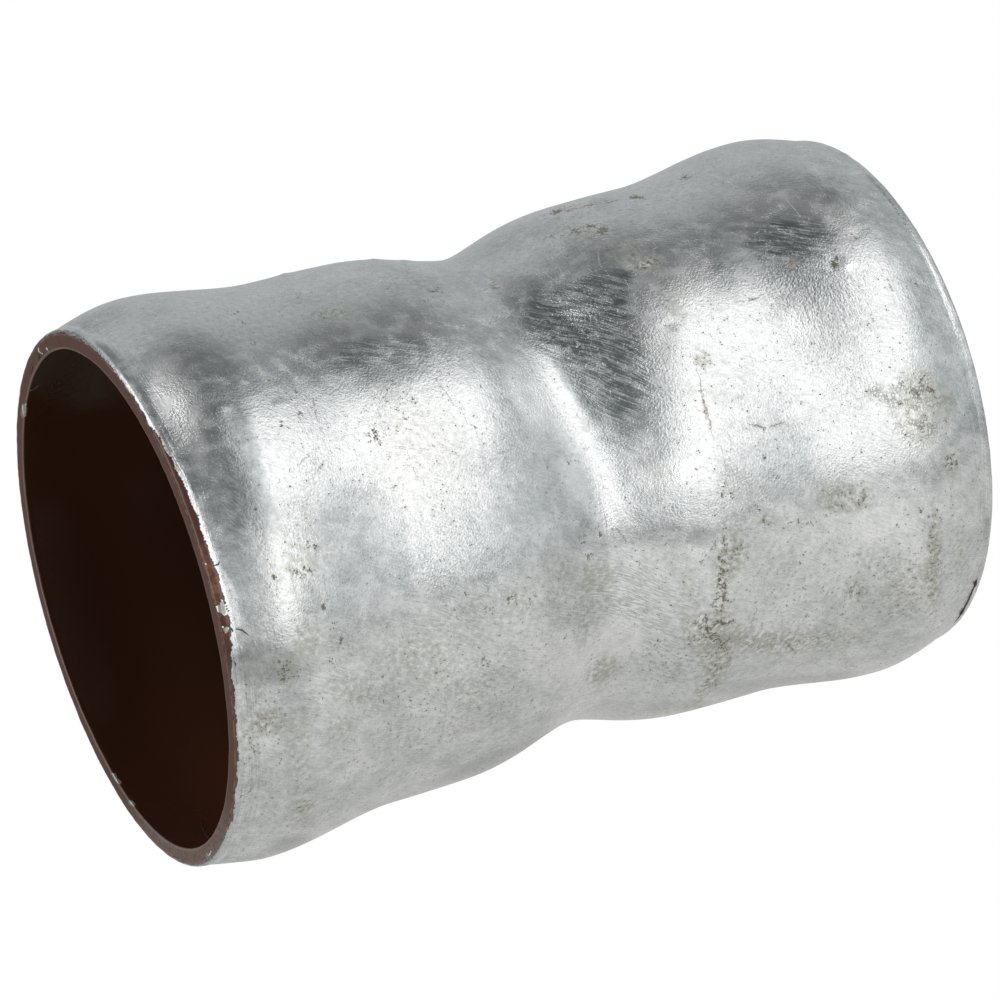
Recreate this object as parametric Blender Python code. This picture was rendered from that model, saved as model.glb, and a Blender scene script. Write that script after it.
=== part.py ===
"""Slip coupling for drain pipe: one piece of tube, formed to a socket at both ends.

Metres, +Z up. The coupling stands on one mouth, on its axis of revolution, with
the origin at the centre of the lower rim. The two ends are the same.

From each mouth inwards the wall runs: flat cut rim, lip opening to the seal
bulge, straight socket, shoulder, waist. The waist is at mid-length. It is bored
a little over the pipe's outside diameter, so there is no stop inside and the
coupling can be pushed right over the pipe and slid back over the joint.
"""
import bpy
import bmesh
import numpy as np

for ob in list(bpy.data.objects):
    bpy.data.objects.remove(ob, do_unlink=True)

MM = 0.001

# ---- driving sizes, mm ------------------------------------------------------
LENGTH = 100.0        # rim to rim
WALL = 2.0            # tube, zinc and inner coat together
PIPE_OD = 53.0        # the pipe that the coupling joins

# outside of one half, from its rim to the waist: distance from the rim, radius,
# and slope of the wall there
LIP = (0.0, 32.1, 0.295)
CREST = (8.7, 34.1, 0.0)              # top of the seal bulge
SOCKET_START = (25.0, 32.14, 0.0)
SOCKET_END = (35.5, 31.97, -0.055)
SHOULDER = (42.3, 30.79, -0.284)      # steepest point of the neck-in
WAIST = (50.0, 29.0, 0.0)

RIM_ROUND_OUT = 0.45  # the cut edge is rounded over by zinc outside
RIM_ROUND_IN = 0.35   # and by the coat inside

# the upper mouth is knocked out of round: its lip stands proud over part of the turn
KNOCK_OUT = 0.45      # mm, at the rim
KNOCK_DEEP = 6.0      # mm down from the rim
KNOCK_ANGLE = 180.0   # degrees, from +X
KNOCK_HALF_WIDTH = 70.0

SEGMENTS = 64
OUTER_RINGS = 33
INNER_RINGS = 23
ROUND_STEPS = 3

STATIONS = (LIP, CREST, SOCKET_START, SOCKET_END, SHOULDER, WAIST)


def half_radius(s):
    """Outer radius, s mm in from a rim (0 to LENGTH/2): cubic pieces between the stations."""
    s = np.asarray(s, float)
    r = np.full(s.shape, LIP[1]) + LIP[2] * s
    for (s0, r0, m0), (s1, r1, m1) in zip(STATIONS[:-1], STATIONS[1:]):
        h = s1 - s0
        t = (s - s0) / h
        piece = ((2 * t ** 3 - 3 * t ** 2 + 1) * r0 + (t ** 3 - 2 * t ** 2 + t) * h * m0
                 + (3 * t ** 2 - 2 * t ** 3) * r1 + (t ** 3 - t ** 2) * h * m1)
        r = np.where((s >= s0) & (s <= s1), piece, r)
    return r


def outer_radius(z):
    z = np.asarray(z, float)
    return half_radius(np.minimum(z, LENGTH - z))


# the inside is the outside moved in by the wall, square to the surface
_z = np.linspace(-3.0, LENGTH + 3.0, 2121)
_r = outer_radius(_z)
_slope = np.gradient(_r, _z)
_n = np.sqrt(1.0 + _slope ** 2)
_zi, _ri = _z + WALL * _slope / _n, _r - WALL / _n


def inner_radius(z):
    return np.interp(z, _zi, _ri)


def profile():
    """The closed section in (radius, z), outside upwards, over the rim, inside downwards."""
    ro, ri = RIM_ROUND_OUT, RIM_ROUND_IN
    pts = []
    for z in np.linspace(ro, LENGTH - ro, OUTER_RINGS):
        pts.append((float(outer_radius(z)), float(z)))
    top_out, top_in = float(outer_radius(LENGTH - ro)), float(inner_radius(LENGTH - ri))
    for k in range(1, ROUND_STEPS + 1):
        a = 0.5 * np.pi * k / ROUND_STEPS
        pts.append((top_out - ro * (1 - np.cos(a)), LENGTH - ro + ro * np.sin(a)))
    for k in range(ROUND_STEPS):
        a = 0.5 * np.pi * k / ROUND_STEPS
        pts.append((top_in + ri * (1 - np.sin(a)), LENGTH - ri + ri * np.cos(a)))
    for z in np.linspace(LENGTH - ri, ri, INNER_RINGS):
        pts.append((float(inner_radius(z)), float(z)))
    low_out, low_in = float(outer_radius(ro)), float(inner_radius(ri))
    for k in range(1, ROUND_STEPS + 1):
        a = 0.5 * np.pi * k / ROUND_STEPS
        pts.append((low_in + ri * (1 - np.cos(a)), ri - ri * np.sin(a)))
    for k in range(ROUND_STEPS):
        a = 0.5 * np.pi * k / ROUND_STEPS
        pts.append((low_out - ro * (1 - np.sin(a)), ro - ro * np.cos(a)))
    return pts


def knock(angle, z):
    """How far the wall stands out of round, mm."""
    d = (np.degrees(angle) - KNOCK_ANGLE + 180.0) % 360.0 - 180.0
    if abs(d) >= KNOCK_HALF_WIDTH or z <= LENGTH - KNOCK_DEEP:
        return 0.0
    round_part = 0.5 + 0.5 * np.cos(np.pi * d / KNOCK_HALF_WIDTH)
    t = (z - (LENGTH - KNOCK_DEEP)) / KNOCK_DEEP
    return KNOCK_OUT * round_part * t * t * (3.0 - 2.0 * t)


def material(name, colour, metallic, roughness):
    m = bpy.data.materials.new(name)
    m.use_nodes = True
    b = m.node_tree.nodes["Principled BSDF"]
    b.inputs["Base Color"].default_value = (*colour, 1.0)
    b.inputs["Metallic"].default_value = metallic
    b.inputs["Roughness"].default_value = roughness
    m.diffuse_color = (*colour, 1.0)
    return m


zinc = material("zinc", (0.60, 0.61, 0.60), 0.9, 0.38)

# the section is drawn at +X and spun a full turn about Z
bm = bmesh.new()
section = [bm.verts.new((r * MM, 0.0, z * MM)) for r, z in profile()]
edges = [bm.edges.new((a, b)) for a, b in zip(section, section[1:] + section[:1])]
bmesh.ops.spin(bm, geom=section + edges, cent=(0.0, 0.0, 0.0), axis=(0.0, 0.0, 1.0),
               angle=2.0 * np.pi, steps=SEGMENTS, use_merge=True, use_duplicate=False)
bmesh.ops.recalc_face_normals(bm, faces=bm.faces)
for v in bm.verts:
    angle, radius = np.arctan2(v.co.y, v.co.x), np.hypot(v.co.x, v.co.y)
    grow = (radius + knock(angle, v.co.z / MM) * MM) / radius
    v.co.x *= grow
    v.co.y *= grow

mesh = bpy.data.meshes.new("coupling_body")
bm.to_mesh(mesh)
bm.free()
mesh.shade_smooth()
mesh.set_sharp_from_angle(angle=np.radians(40.0))
mesh.materials.append(zinc)
body = bpy.data.objects.new("coupling_body", mesh)
bpy.context.scene.collection.objects.link(body)
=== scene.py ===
"""The slip coupling's looks: formed steel tube, hot-dip zinc outside, brown coat inside."""
import math

import bpy
import numpy as np
from mathutils import Matrix, Vector
from mathutils.bvhtree import BVHTree


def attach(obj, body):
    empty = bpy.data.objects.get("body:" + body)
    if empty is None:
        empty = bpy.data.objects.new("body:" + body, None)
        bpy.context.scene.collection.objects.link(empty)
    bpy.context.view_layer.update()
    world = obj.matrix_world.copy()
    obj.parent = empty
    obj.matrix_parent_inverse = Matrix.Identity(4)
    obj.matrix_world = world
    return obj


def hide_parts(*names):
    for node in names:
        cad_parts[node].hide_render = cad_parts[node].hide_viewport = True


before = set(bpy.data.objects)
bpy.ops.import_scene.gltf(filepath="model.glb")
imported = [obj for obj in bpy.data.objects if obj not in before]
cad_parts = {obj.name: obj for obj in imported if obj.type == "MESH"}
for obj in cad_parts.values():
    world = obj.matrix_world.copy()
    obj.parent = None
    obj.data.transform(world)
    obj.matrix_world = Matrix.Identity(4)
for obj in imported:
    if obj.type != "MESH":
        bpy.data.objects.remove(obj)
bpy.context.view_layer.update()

MM = 0.001

# ----------------------------------------------------------- camera and picture
# RIGHT, UP and BACK are the picture's right, its top, and towards the viewer
RIGHT = Vector((-0.269915, -0.366506, -0.890404))
UP = Vector((0.962884, -0.102739, -0.249597))
BACK = Vector((0.0, -0.924726, 0.380634))
EYE = Vector((-0.000875, -0.551849, 0.277503))
LENS, SENSOR, SIDE = 177.0735, 36.0, 1000.0
FOCAL = LENS / SENSOR * SIDE


def picture(p):
    """Picture coordinates, 0-1000 from the top left, of points p in mm."""
    v = p * MM - np.array(EYE)
    x, y, d = v @ np.array(RIGHT), v @ np.array(UP), -(v @ np.array(BACK))
    return 0.5 * SIDE + FOCAL * x / d, 0.5 * SIDE - FOCAL * y / d


def sight(x, y):
    """The direction from the camera through a place in the picture."""
    return (RIGHT * ((x - 0.5 * SIDE) / FOCAL) + UP * ((0.5 * SIDE - y) / FOCAL) - BACK).normalized()


# ---------------------------------------------------------------- the section
LENGTH, WALL = 100.0, 2.0
STATIONS = ((0.0, 32.1, 0.295), (8.7, 34.1, 0.0), (25.0, 32.14, 0.0),
            (35.5, 31.97, -0.055), (42.3, 30.79, -0.284), (50.0, 29.0, 0.0))


def half_radius(s):
    s = np.asarray(s, float)
    r = np.full(s.shape, STATIONS[0][1]) + STATIONS[0][2] * s
    for (s0, r0, m0), (s1, r1, m1) in zip(STATIONS[:-1], STATIONS[1:]):
        h = s1 - s0
        t = (s - s0) / h
        piece = ((2 * t ** 3 - 3 * t ** 2 + 1) * r0 + (t ** 3 - 2 * t ** 2 + t) * h * m0
                 + (3 * t ** 2 - 2 * t ** 3) * r1 + (t ** 3 - t ** 2) * h * m1)
        r = np.where((s >= s0) & (s <= s1), piece, r)
    return r


def outer_radius(z):
    z = np.asarray(z, float)
    return half_radius(np.minimum(z, LENGTH - z))


_z = np.linspace(-3.0, LENGTH + 3.0, 2121)
_r = outer_radius(_z)
_slope = np.gradient(_r, _z)
_n = np.sqrt(1.0 + _slope ** 2)
_zi, _ri = _z + WALL * _slope / _n, _r - WALL / _n


def inner_radius(z):
    return np.interp(z, _zi, _ri)


def smooth(a, b, x):
    t = np.clip((np.asarray(x, float) - a) / (b - a), 0.0, 1.0)
    return t * t * (3.0 - 2.0 * t)


# ---------------------------------------------------------------- seeded noise
_perm = np.random.default_rng(7).permutation(4096)
_grad = np.random.default_rng(11).normal(size=(4096, 3))
_grad /= np.linalg.norm(_grad, axis=1, keepdims=True)


def noise3(p, scale, seed=0):
    """Gradient noise, about -0.6 to 0.6, over points p in mm; scale is the cell in mm."""
    q = p / scale + np.array([17.3, 5.1, 9.7]) * (seed + 1)
    i = np.floor(q).astype(np.int64)
    f = q - i
    u = f * f * f * (f * (f * 6 - 15) + 10)
    out = 0.0
    for dx in (0, 1):
        for dy in (0, 1):
            for dz in (0, 1):
                h = _perm[(i[:, 2] + dz) & 4095]
                h = _perm[(h + i[:, 1] + dy) & 4095]
                h = _perm[(h + i[:, 0] + dx) & 4095]
                d = (_grad[h] * (f - (dx, dy, dz))).sum(1)
                w = ((u[:, 0] if dx else 1 - u[:, 0]) * (u[:, 1] if dy else 1 - u[:, 1])
                     * (u[:, 2] if dz else 1 - u[:, 2]))
                out = out + w * d
    return out


def turn(t, at):
    """Signed difference of two angles, degrees."""
    return (t - at + 180.0) % 360.0 - 180.0


# ------------------------------------------------------------------- the mesh
# Each ring is (radius, z, outward normal in the section, part of the section, columns).
# Columns halve or double only from one zone to the next. They stand closer together on the
# side that faces the camera.
COLS = 400
ROUND_OUT, ROUND_IN = 0.55, 0.2
BEAD = 0.15                # the zinc stands a little proud along both lips
_a = np.linspace(0.0, 360.0, 3601)
_w = 0.72 + 0.56 * smooth(115, 80, np.abs(turn(_a, 270.0)))
_cum = np.concatenate([[0.0], np.cumsum(0.5 * (_w[1:] + _w[:-1]))])
_cum /= _cum[-1]


def angle_of(share):
    return np.interp(share, _cum, _a)


def normal_at(z, inner=False):
    r = inner_radius if inner else outer_radius
    m = (float(r(z + 0.05)) - float(r(z - 0.05))) / 0.1
    n = math.hypot(1.0, m)
    return (-1.0 / n, m / n) if inner else (1.0 / n, -m / n)


def bead(z):
    d = np.minimum(z, LENGTH - z)
    return BEAD * smooth(1.5, 0.65, d)


def section():
    rings = []
    ro, ri = ROUND_OUT, ROUND_IN
    edge = 4.4
    fine = [98.45, 98.7, 98.9, 99.1, 99.28, LENGTH - ro]
    for z in ([LENGTH - v for v in fine[:0:-1]] + list(np.linspace(1.6, LENGTH - edge, 138))
              + list(np.linspace(LENGTH - edge, 98.2, 8))[1:] + fine):
        cols = 2 * COLS if z > LENGTH - edge + 0.01 else COLS
        rings.append((float(outer_radius(z) + bead(z)), float(z), normal_at(z), 0, cols))

    def rim(top):
        s, base, cols = (1.0, LENGTH, 2 * COLS) if top else (-1.0, 0.0, COLS)
        out_r, in_r = float(outer_radius(base - s * ro)) + BEAD, float(inner_radius(base - s * ri))
        ring = []
        for k in range(1, 7):
            a = 0.5 * math.pi * k / 6
            ring.append((out_r - ro * (1 - math.cos(a)), base - s * ro * (1 - math.sin(a)),
                         (math.cos(a), s * math.sin(a)), 1, cols))
        w0, w1 = out_r - ro, in_r + ri
        for k in range(1, 4):
            ring.append((w0 + (w1 - w0) * k / 4, base, (0.0, s), 1, cols))
        for k in range(4):
            a = 0.5 * math.pi * k / 4
            ring.append((in_r + ri * (1 - math.sin(a)), base - s * ri * (1 - math.cos(a)),
                         (-math.sin(a), s * math.cos(a)), 1, cols))
        return ring

    rings += rim(True)
    for z in np.concatenate([LENGTH - ri - np.array([0, .5, 1.1, 1.8]), np.linspace(LENGTH - 4.0, 4.0, 42),
                             ri + np.array([1.8, 1.1, .5, 0])]):
        d = LENGTH - z
        cols = 2 * COLS if d < 1.0 else COLS if d < 3 else COLS // 2 if d < 5 else COLS // 4
        if z < 10:
            cols = COLS if z < 1.0 else COLS // 2 if z < 3 else COLS // 4
        rings.append((float(inner_radius(z)), float(z), normal_at(z, True), 2, cols))
    rings += rim(False)[::-1]
    return rings


def build_grid():
    rings = section()
    co, nr, kind, along = [], [], [], []
    start = []
    run = 0.0
    last = rings[0]
    for r, z, (a, b), part, cols in rings:
        run += math.hypot(r - last[0], z - last[1])
        last = (r, z)
        start.append(len(co))
        t = np.radians(angle_of(np.arange(cols) / cols))
        c, s = np.cos(t), np.sin(t)
        co.extend(np.stack([r * c, r * s, 0 * c + z], 1))
        nr.extend(np.stack([a * c, a * s, 0 * c + b], 1))
        kind.extend([part] * cols)
        along.extend([run] * cols)
    faces = []
    n = len(rings)
    for j in range(n):
        k = (j + 1) % n
        ca, cb, a, b = rings[j][4], rings[k][4], start[j], start[k]
        if ca == cb:
            for i in range(ca):
                i2 = (i + 1) % ca
                faces.append((a + i, a + i2, b + i2, b + i))
        elif ca == 2 * cb:
            for i in range(cb):
                i2 = (i + 1) % cb
                p, q, r_ = a + 2 * i, a + 2 * i + 1, a + (2 * i + 2) % ca
                faces += [(p, q, b + i), (q, b + i2, b + i), (q, r_, b + i2)]
        elif cb == 2 * ca:
            for i in range(ca):
                i2 = (i + 1) % ca
                p, q, r_ = b + 2 * i, b + 2 * i + 1, b + (2 * i + 2) % cb
                faces += [(a + i, q, p), (a + i, a + i2, q), (a + i2, r_, q)]
        else:
            raise ValueError(f"columns {ca} to {cb}")
    return np.array(co), np.array(nr), np.array(kind), np.array(along), faces


co, nr, kind, along, faces = build_grid()
theta = np.degrees(np.arctan2(co[:, 1], co[:, 0])) % 360.0
zz = co[:, 2].copy()
outer = kind == 0
skin = (kind == 0) | ((kind == 1) & (np.hypot(co[:, 0], co[:, 1]) > 31.2))
px, py = picture(co)
to_eye = np.array(EYE) / MM - co
to_eye /= np.linalg.norm(to_eye, axis=1, keepdims=True)
facing = (nr * to_eye).sum(1)
seen = smooth(0.0, 0.12, facing) * (kind < 2)
front = outer & (facing > 0.0)

# the knocked lip of the upper mouth, as in the solid
d = turn(theta, 180.0)
knock = np.where((np.abs(d) < 70) & (zz > 94),
                 0.45 * (0.5 + 0.5 * np.cos(np.pi * d / 70)) * smooth(94, 100, zz), 0.0)
radial = np.stack([np.cos(np.radians(theta)), np.sin(np.radians(theta)), 0 * zz], 1)
base = co + radial * knock[:, None]

# --------------------------------------------------------- marks on the outside
# Marks are placed where the picture has them: x, y, half widths along and across, tilt in
# degrees (down to the right is positive), strength.


def ellipse(x, y, a, b, tilt=0.0, edge=0.45):
    c, s = math.cos(math.radians(tilt)), math.sin(math.radians(tilt))
    u, v = (px - x) * c + (py - y) * s, -(px - x) * s + (py - y) * c
    return smooth(1.0 + edge, 1.0 - edge, np.hypot(u / a, v / b)) * front


def patch(points, edge=6.0):
    """1 inside an outline given in picture units, 0 outside, with a soft edge."""
    inside, dist = np.zeros(len(px), bool), np.full(len(px), 1e9)
    for (x0, y0), (x1, y1) in zip(points, points[1:] + points[:1]):
        dx, dy = x1 - x0, y1 - y0
        t = np.clip(((px - x0) * dx + (py - y0) * dy) / (dx * dx + dy * dy), 0, 1)
        dist = np.minimum(dist, np.hypot(px - x0 - t * dx, py - y0 - t * dy))
        if y0 != y1:
            inside ^= ((y0 > py) != (y1 > py)) & (px < x0 + (py - y0) * dx / dy)
    return smooth(-edge, edge, np.where(inside, dist, -dist)) * front


def from_path(points):
    """Signed distance in picture units to a stroke, and how far inside its ends a point is."""
    best, sign, inside = np.full(len(px), 1e9), np.ones(len(px)), np.zeros(len(px))
    for (x0, y0), (x1, y1) in zip(points[:-1], points[1:]):
        dx, dy = x1 - x0, y1 - y0
        n = math.hypot(dx, dy)
        t = ((px - x0) * dx + (py - y0) * dy) / n
        off = ((px - x0) * dy - (py - y0) * dx) / n
        over = np.maximum(np.maximum(-t, t - n), 0.0)
        d = np.hypot(off, over)
        near = d < best
        best = np.where(near, d, best)
        sign = np.where(near, np.where(off < 0, -1.0, 1.0), sign)
        inside = np.where(near, np.abs(off), inside)
    ends = np.minimum(np.hypot(px - points[0][0], py - points[0][1]),
                      np.hypot(px - points[-1][0], py - points[-1][1]))
    return best * sign, best, ends


DIRT = (
    (512, 597, 5, 7, 0, .7), (489, 610, 3, 3, 0, .9), (482, 663, 10, 5, 0, .5), (497, 694, 6, 4, 0, .5), (325, 607, 3, 6, 0, .7),
    # top of the near half
    (331, 315, 19, 5, -4, .42), (389, 288, 7, 3, 0, .5), (434, 290, 8, 3, 0, .5), (423, 302, 3, 3, 0, .8),
    (300, 297, 4, 3, 0, .7), (232, 313, 6, 3, 0, .55), (216, 351, 3, 3, 0, 1.1), (272, 382, 9, 4, 0, .6),
    (295, 391, 3, 6, 10, .6), (300, 414, 3, 3, 0, .8), (315, 407, 3, 3, 0, .7), (373, 352, 44, 17, 0, .22),
    # near highlight
    (373, 437, 7, 7, 0, .65), (282, 425, 4, 3, -20, .7), (319, 466, 5, 4, -30, .5), (312, 546, 9, 4, 12, .85),
    (300, 571, 11, 7, 0, .62), (277, 578, 3, 3, 0, .95), (323, 605, 3, 5, 0, .6), (394, 406, 24, 26, 0, .22),
    (349, 516, 2.5, 7, 0, .5),
    # near lower half
    (285, 670, 11, 12, 0, .62), (271, 722, 16, 11, 0, .34), (331, 626, 4, 5, 0, .5), (341, 641, 2.5, 6, 0, .7),
    (333, 662, 3, 4, 0, .7), (306, 807, 9, 8, 0, .36),
    # waist
    (571, 546, 3, 3, 0, .9), (583, 539, 5, 8, 0, .62), (598, 533, 3, 6, 0, .95), (590, 556, 3, 4, 0, .9),
    (568, 457, 6, 9, -30, .4),
    # above the waist and the far top
    (636, 197, 6, 2.5, 0, 1.2), (578, 207, 30, 3, -11, .55), (591, 232, 25, 7, -8, .3), (576, 231, 6, 3, 20, .8),
    (590, 226, 5, 2, -10, .8), (604, 231, 6, 4, -20, .8), (556, 212, 7, 2.5, -12, .7), (612, 201, 8, 2, -8, .7),
    (548, 238, 6, 3, -20, .5), (660, 198, 5, 2, 0, .5), (686, 178, 6, 3, 0, .6), (436, 292, 6, 2, 0, .6), (567, 254, 3, 3, 0, .9),
    (643, 262, 17, 10, 10, .3), (495, 285, 13, 5, 35, .42), (640, 268, 9, 3, 10, .5), (652, 259, 3, 6, 0, .5), (669, 326, 3.5, 3.5, 0, .7), (702, 360, 6, 9, 0, .35),
    (705, 404, 4, 21, -8, .42), (765, 426, 17, 3, 0, .5), (751, 298, 6, 2.5, 0, .6), (780, 299, 6, 2.5, 0, .6),
    (686, 177, 6, 3, 0, .5), (791, 261, 5, 5, 0, .5), (916, 283, 4, 4, 0, .7), (854, 236, 3, 3, 0, .7),
    (560, 225, 34, 14, -15, .2), (600, 330, 62, 44, 50, .16),
    # far half
    (699, 469, 8, 5, 0, .5), (726, 492, 12, 8, 0, .42), (758, 508, 3, 3, 0, .8), (775, 477, 6, 5, 0, .5),
    (765, 458, 3, 3, 0, .8), (766, 521, 5, 4, 0, .7), (802, 523, 17, 3, 0, .6), (843, 498, 29, 13, 0, .26),
    (934, 557, 7, 52, 0, .28), (951, 464, 7, 9, 0, .42), (856, 592, 11, 9, 0, .34), (830, 594, 3, 3, 0, .8),
    (804, 564, 3, 3, 0, .8), (902, 514, 3, 3, 0, .8), (919, 511, 3, 3, 0, .8), (723, 572, 6, 34, 2, .42),
    (718, 606, 6, 11, 10, .62), (724, 622, 9, 4, -15, .75), (712, 636, 9, 6, 30, .6), (722, 645, 7, 6, 0, .5),
    (706, 622, 5, 9, 0, .4), (728, 600, 3, 6, 0, .5), (732, 560, 5, 12, 20, .4), (726, 540, 4, 8, -20, .45),
    (722, 585, 3, 9, 0, .6), (741, 548, 5, 9, 30, .3), (690, 640, 10, 10, 0, .26),
    (730, 182, 12, 6, 20, .3), (652, 262, 10, 5, 10, .5), (632, 256, 6, 4, 0, .4), (640, 268, 5, 3, 0, .5),
    (530, 600, 8, 30, 0, .2), (560, 500, 10, 30, 0, .2), (900, 580, 24, 40, 10, .16), (800, 600, 60, 30, 0, .12),
    (236, 312, 3, 2, 0, .6), (242, 321, 3, 3, 0, .6), (255, 344, 4, 3, 0, .55), (242, 350, 3, 5, 0, .5), (254, 360, 3, 4, 0, .55),
    # the strong mark at (835, 262) is painted shade in the dent there
    (246, 371, 3, 3, 0, .9), (297, 336, 3.5, 1.5, 0, .8), (246, 336, 3, 20, -12, .25), (835, 262, 3.5, 6, 15, 1.8), (306, 305, 4, 3, 0, .5),
    (660, 660, 40, 20, 0, .16), (250, 760, 8, 40, 5, .2), (420, 700, 60, 40, 0, .1),
    (922, 380, 3, 3, 0, .8), (931, 391, 4.5, 3.5, 30, 1.1), (938, 397, 2.5, 2.5, 0, 1.0), (923, 406, 4, 2.5, 0, .8),
    (926, 416, 2.5, 3, 0, .9), (944, 421, 3, 2, 0, .8), (923, 428, 2, 4, 0, .8), (946, 436, 2.2, 5, 0, 1.0),
    (927, 442, 7, 1.5, 0, .8), (869, 391, 2.2, 2.2, 0, .7), (951, 462, 7, 8, 0, .4), (908, 392, 12, 16, 0, .3), (714, 658, 12, 9, -20, .32),
    (715, 676, 25, 8, -50, .42), (794, 642, 70, 8, -4, .26), (700, 632, 14, 20, 0, .22), (849, 664, 9, 4, 45, .4),
)
SMEAR = (
    (415, 662, 40, 22, 0, .32), (300, 742, 12, 40, 4, .32), (300, 822, 14, 10, -10, .3), (400, 745, 30, 14, -10, .22),
    (470, 690, 22, 14, -20, .28), (340, 690, 18, 14, 0, .22), (515, 604, 16, 14, 0, .22), (305, 643, 12, 12, 0, .28), (694, 706, 10, 7, 0, .35),
    (951, 622, 8, 9, 0, .3),
    (600, 578, 15, 15, 0, .55), (580, 636, 7, 17, 0, .4), (601, 670, 17, 13, -40, .75), (856, 592, 13, 10, 0, .5),
    (934, 557, 9, 54, 0, .5), (845, 498, 30, 14, 0, .45), (794, 642, 72, 11, -4, .45), (713, 678, 27, 9, -50, .7),
    (722, 580, 9, 44, 0, .4), (718, 632, 22, 24, 0, .35), (285, 670, 15, 14, 0, .5), (271, 722, 18, 13, 0, .5),
    (342, 730, 14, 14, 0, .4), (306, 807, 10, 9, 0, .45), (643, 262, 19, 11, 10, .14), (702, 360, 8, 11, 0, .5),
    (951, 399, 7, 6, 0, .25), (951, 464, 8, 11, 0, .5), (925, 405, 26, 32, 0, .28), (331, 315, 22, 6, 0, .3),
    (591, 232, 28, 9, -8, .2), (760, 640, 34, 10, 12, .5), (766, 520, 8, 6, 0, .6), (495, 285, 14, 6, 35, .4),
    (791, 261, 7, 6, 0, .6), (586, 600, 5, 34, 0, .4), (740, 700, 90, 5, -9, .5), (420, 620, 60, 40, 0, .12),
    (252, 690, 14, 90, 6, .28), (500, 640, 40, 60, 0, .12),
    (735, 552, 10, 26, 14, .7), (712, 660, 14, 26, -10, .45), (905, 590, 26, 34, 20, .35), (870, 560, 20, 14, 0, .25),
    (660, 470, 20, 12, 30, .25), (770, 560, 30, 20, 10, .22), (690, 600, 12, 40, 0, .3), (960, 560, 8, 50, -8, .35),
    (300, 560, 16, 16, 0, .3), (310, 640, 20, 20, 0, .3), (560, 580, 14, 30, 10, .35), (470, 720, 40, 14, -14, .25),
    (360, 690, 24, 14, 20, .3), (950, 400, 6, 6, 0, .2), (620, 250, 30, 14, 20, .3), (670, 300, 14, 22, -20, .3),
)
LIFT = (  # lighter strokes, brushed or haze
    (640, 592, 52, 34, 32, .9), (890, 530, 24, 26, 0, .7), (797, 618, 30, 17, 0, .7), (328, 686, 22, 15, -20, .7),
    (300, 826, 7, 9, 0, .9), (470, 640, 70, 60, 20, .35), (660, 650, 40, 34, 20, .55), (430, 560, 60, 60, 0, .3),
    (400, 700, 90, 60, -10, .35), (560, 640, 40, 60, 0, .35), (650, 610, 70, 50, 30, .35),
)
SCRATCH = (
    (590, 310, 44, 24, -10, .25), (786, 234, 46, 22, 2, 1.0),
    (796, 262, 40, 14, 10, .4), (373, 352, 44, 16, -6, .75), (234, 500, 13, 54, -9, .42), (216, 380, 18, 40, -20, .25),
    (618, 436, 24, 24, 0, .4),
)
# painted shade and painted highlights on the zinc, with some dull zinc of its own: the first list is darker, the second
# lighter. Many of them stand in for reflections of the real room, which the lights below only come near.
DULL_AND_PAINTED_SHADE = (
    (923, 245, 8, 8, 0, .25), (227, 838, 6, 12, 0, .3),
    (251, 470, 11, 74, -10, 1.0), (234, 420, 9, 20, -12, .8), (580, 396, 44, 6, 55, .8), (612, 412, 26, 9, 40, .3),
    (266, 664, 40, 20, 0, .8), (238, 664, 12, 24, -8, .25), (292, 845, 22, 9, -12, .8), (105, 351, 15, 6, 32, .8),
    (120, 374, 12, 5, 48, .6), (538, 735, 18, 8, -22, .4), (471, 361, 12, 8, 0, .3), (306, 823, 12, 8, -10, .4), (280, 632, 9, 9, 0, .35),
    (659, 325, 8, 8, 0, .35), (834.5, 261, 3.2, 8, 12, 1.0),
    (391, 397, 10, 6, 0, .35), (494, 503, 10, 8, 0, .25), (258, 581, 7, 9, 0, .3), (690, 707, 14, 5, -12, .4), (660, 707, 14, 5, -12, .4),
    (872, 479, 12, 8, 0, .25), (841, 676, 14, 6, -12, .35), (419, 756, 12, 8, 0, .3), (296, 806, 10, 8, 0, .35), (238, 860, 8, 4, -30, .4),
    (887, 257, 10, 8, 30, .25), (768, 448, 12, 8, 0, .25), (580, 299, 14, 8, -8, .55), (843, 342, 10, 10, 0, .2), (494, 522, 10, 8, 0, .25),
    (546, 715, 14, 6, -18, .35), (236, 446, 6, 8, 0, .3), (370, 806, 14, 5, -16, .35), (450, 761, 14, 7, -20, .35), (400, 795, 14, 6, -16, .3),
    (566, 346, 6, 8, 40, .4), (584, 424, 5, 10, -30, .4), (872, 221, 9, 7, 30, .25),
    (104, 353, 12, 5, 32, .4), (123, 380, 8, 5, 48, .4), (689, 390, 10, 10, 0, .25), (748, 453, 10, 8, 0, .25), (722, 399, 10, 10, 0, .25),
    (521, 375, 9, 9, 0, .25), (572, 373, 5, 9, -35, .45), (903, 219, 8, 8, 40, .25), (601, 203, 12, 6, -12, .3), (662, 386, 8, 10, 0, .3),
    (895, 285, 9, 9, 0, .2), (338, 822, 12, 5, -20, .3), (264, 854, 10, 5, -16, .3), (285, 513, 8, 8, 0, .2), (987, 530, 5, 14, 0, .4),
    (391, 374, 30, 12, -10, .6), (500, 760, 64, 10, -20, .75), (778, 685, 62, 9, -6, .6), (668, 535, 60, 11, -3, .5),
    (205, 345, 30, 12, 30, .2), (560, 605, 26, 40, 0, .15), (290, 705, 22, 40, 0, .4), (830, 690, 50, 8, -8, .4),
    (420, 800, 60, 8, -16, .4), (272, 590, 9, 30, 0, .25), (670, 346, 9, 20, 20, .35), (596, 290, 24, 8, 0, .3),
    (153, 424, 5, 14, -28, .3), (272, 516, 8, 20, -8, .4),
)
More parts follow.
